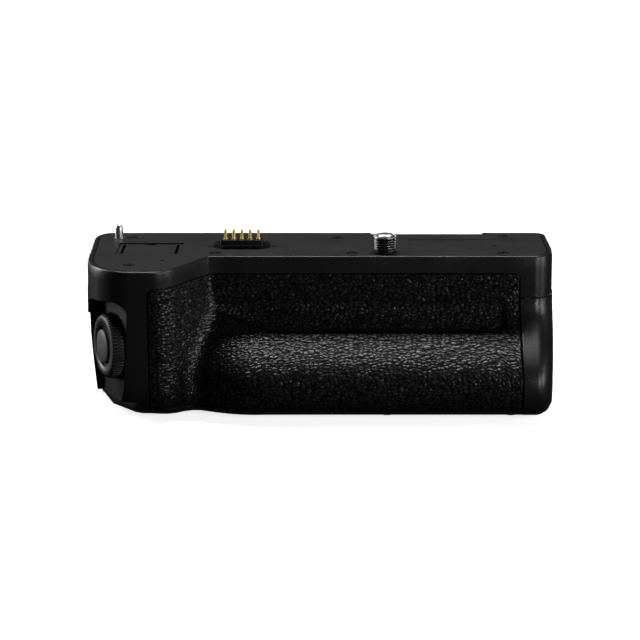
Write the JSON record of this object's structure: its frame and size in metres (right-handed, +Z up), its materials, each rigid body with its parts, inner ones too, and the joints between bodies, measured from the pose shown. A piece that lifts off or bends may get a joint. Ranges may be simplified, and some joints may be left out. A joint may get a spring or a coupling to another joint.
{
  "type": "camera battery grip",
  "caption": "Vertical battery grip that screws under a camera: pebbled hand grip, knurled dial with shutter button, camera screw, spring contacts, end-loading battery chamber with hinged door.",
  "frame": {"origin": "axis of the camera screw on the camera seat (the top face)", "axes": "+Z up along the camera screw, +X along the body to the viewer's right in the picture, -Y to the front"},
  "size_m": [0.1339, 0.062, 0.0496],
  "materials": {
    "case": "fine moulded texture, matt black",
    "plate": "fine texture, dark grey",
    "covering": "pebbled covering, black",
    "gloss": "smooth gloss black",
    "control": "satin black",
    "shutter": "satin dark grey",
    "steel": "turned, bright",
    "dark_screw": "blackened",
    "contact": "gold plated",
    "alloy": "bare alloy",
    "gear": "natural acetal",
    "board": "solder mask green",
    "catch": "satin orange",
    "inner": "smooth black",
    "seal": "soft black rubber"
  },
  "bodies": {
    "housing": {"front_case": "case", "rear_case": "case", "top_plate": "plate", "top_plate_screws": "dark_screw", "front_grip_cover": "covering", "thumb_rest": "covering", "cover_holder": "plate", "connector_block": "inner", "connector_seal": "seal", "contact_barrels": "contact", "alignment_pin": "steel", "screw_bush": "inner", "idler_axle": "steel", "wheel_axle": "steel", "chassis_plate": "alloy", "dial_base": "inner", "shutter_switch": "board", "button_panel": "gloss", "key_switches": "board", "rear_dial_axle": "steel", "rear_dial_bracket": "alloy", "rear_board": "board", "main_board": "board", "battery_chamber": "inner", "battery_contacts": "contact", "eject_spring": "steel", "catch_pivot": "steel", "latch_strike": "steel", "hinge_pin": "steel", "hinge_bracket": "alloy", "tripod_socket": "steel", "rest_pads": "seal", "bottom_screws": "dark_screw"},
    "front_dial": {"front_dial": "control"},
    "shutter_button": {"shutter_button": "shutter"},
    "white_balance_button": {"white_balance_button": "control"},
    "sensitivity_button": {"sensitivity_button": "control"},
    "exposure_button": {"exposure_button": "control"},
    "control_lock": {"control_lock": "control"},
    "rear_dial": {"rear_dial": "control"},
    "focus_button": {"focus_button": "control"},
    "joystick_gimbal": {"joystick_gimbal": "alloy"},
    "joystick": {"joystick": "control"},
    "lock_wheel": {"lock_wheel": "control"},
    "idler_gear": {"idler_gear": "gear"},
    "camera_screw": {"camera_screw": "steel", "screw_gear": "alloy"},
    "battery_door": {"battery_door": "case", "hinge_leaf": "alloy"},
    "door_latch": {"door_latch": "control"},
    "battery_catch": {"battery_catch": "catch"},
    "contact_pin_1": {"contact_pin_1": "contact"},
    "contact_pin_2": {"contact_pin_2": "contact"},
    "contact_pin_3": {"contact_pin_3": "contact"},
    "contact_pin_4": {"contact_pin_4": "contact"},
    "contact_pin_5": {"contact_pin_5": "contact"}
  },
  "joints": [
    {"name": "front_dial_turn", "type": "hinge", "parent": "housing", "child": "front_dial", "pos_m": [-0.07579, -0.01679, -0.023], "axis": [-0.9135, -0.4067, 0], "continuous": true},
    {"name": "shutter_press", "type": "slide", "parent": "housing", "child": "shutter_button", "axis": [0.9135, 0.4067, 0], "range_m": [0, 0.0012], "stiffness_N_per_m": 400},
    {"name": "white_balance_press", "type": "slide", "parent": "housing", "child": "white_balance_button", "axis": [0.9583, 0.2748, 0.0785], "range_m": [0, 0.0004], "stiffness_N_per_m": 600},
    {"name": "sensitivity_press", "type": "slide", "parent": "housing", "child": "sensitivity_button", "axis": [0.9583, 0.2748, 0.0785], "range_m": [0, 0.0004], "stiffness_N_per_m": 600},
    {"name": "exposure_press", "type": "slide", "parent": "housing", "child": "exposure_button", "axis": [0.9583, 0.2748, 0.0785], "range_m": [0, 0.0004], "stiffness_N_per_m": 600},
    {"name": "control_lock_slide", "type": "slide", "parent": "housing", "child": "control_lock", "axis": [0, 0, 1], "range_m": [-0.004, 0]},
    {"name": "rear_dial_turn", "type": "hinge", "parent": "housing", "child": "rear_dial", "pos_m": [-0.0759, 0.0239, -0.022], "axis": [1, 0, 0], "continuous": true},
    {"name": "focus_press", "type": "slide", "parent": "housing", "child": "focus_button", "axis": [0, -1, 0], "range_m": [0, 0.0005], "stiffness_N_per_m": 600},
    {"name": "joystick_tilt_up_down", "type": "hinge", "parent": "housing", "child": "joystick_gimbal", "pos_m": [-0.0625, 0.0274, -0.028], "axis": [1, 0, 0], "range_deg": [-8, 8], "stiffness_Nm_per_rad": 0.03},
    {"name": "joystick_tilt_side", "type": "hinge", "parent": "joystick_gimbal", "child": "joystick", "pos_m": [-0.0625, 0.0274, -0.028], "axis": [0, 0, 1], "range_deg": [-8, 8], "stiffness_Nm_per_rad": 0.03},
    {"name": "lock_wheel_turn", "type": "hinge", "parent": "housing", "child": "lock_wheel", "pos_m": [0.0136, 0.0225, -0.008], "axis": [0, 0, 1], "continuous": true},
    {"name": "idler_turn", "type": "hinge", "parent": "housing", "child": "idler_gear", "pos_m": [0.00916, 0.00922, -0.004], "axis": [0, 0, 1], "continuous": true},
    {"name": "camera_screw_turn", "type": "hinge", "parent": "housing", "child": "camera_screw", "pos_m": [0, 0, 0], "axis": [0, 0, 1], "continuous": true},
    {"name": "battery_door_swing", "type": "hinge", "parent": "housing", "child": "battery_door", "pos_m": [0.0398, 0.031, -0.028], "axis": [0, 0, 1], "range_deg": [0, 110]},
    {"name": "door_latch_slide", "type": "slide", "parent": "battery_door", "child": "door_latch", "axis": [0, 0, 1], "range_m": [0, 0.002]},
    {"name": "battery_catch_swing", "type": "hinge", "parent": "housing", "child": "battery_catch", "pos_m": [0.0372, 0.0255, -0.0179], "axis": [1, 0, 0], "range_deg": [0, 18]},
    {"name": "contact_1_press", "type": "slide", "parent": "housing", "child": "contact_pin_1", "axis": [0, 0, -1], "range_m": [0, 0.001], "stiffness_N_per_m": 300},
    {"name": "contact_2_press", "type": "slide", "parent": "housing", "child": "contact_pin_2", "axis": [0, 0, -1], "range_m": [0, 0.001], "stiffness_N_per_m": 300},
    {"name": "contact_3_press", "type": "slide", "parent": "housing", "child": "contact_pin_3", "axis": [0, 0, -1], "range_m": [0, 0.001], "stiffness_N_per_m": 300},
    {"name": "contact_4_press", "type": "slide", "parent": "housing", "child": "contact_pin_4", "axis": [0, 0, -1], "range_m": [0, 0.001], "stiffness_N_per_m": 300},
    {"name": "contact_5_press", "type": "slide", "parent": "housing", "child": "contact_pin_5", "axis": [0, 0, -1], "range_m": [0, 0.001], "stiffness_N_per_m": 300}
  ],
  "couplings": [
    {"joint": "idler_turn", "follows": "lock_wheel_turn", "ratio": -0.47368},
    {"joint": "camera_screw_turn", "follows": "lock_wheel_turn", "ratio": 1.2857}
  ]
}
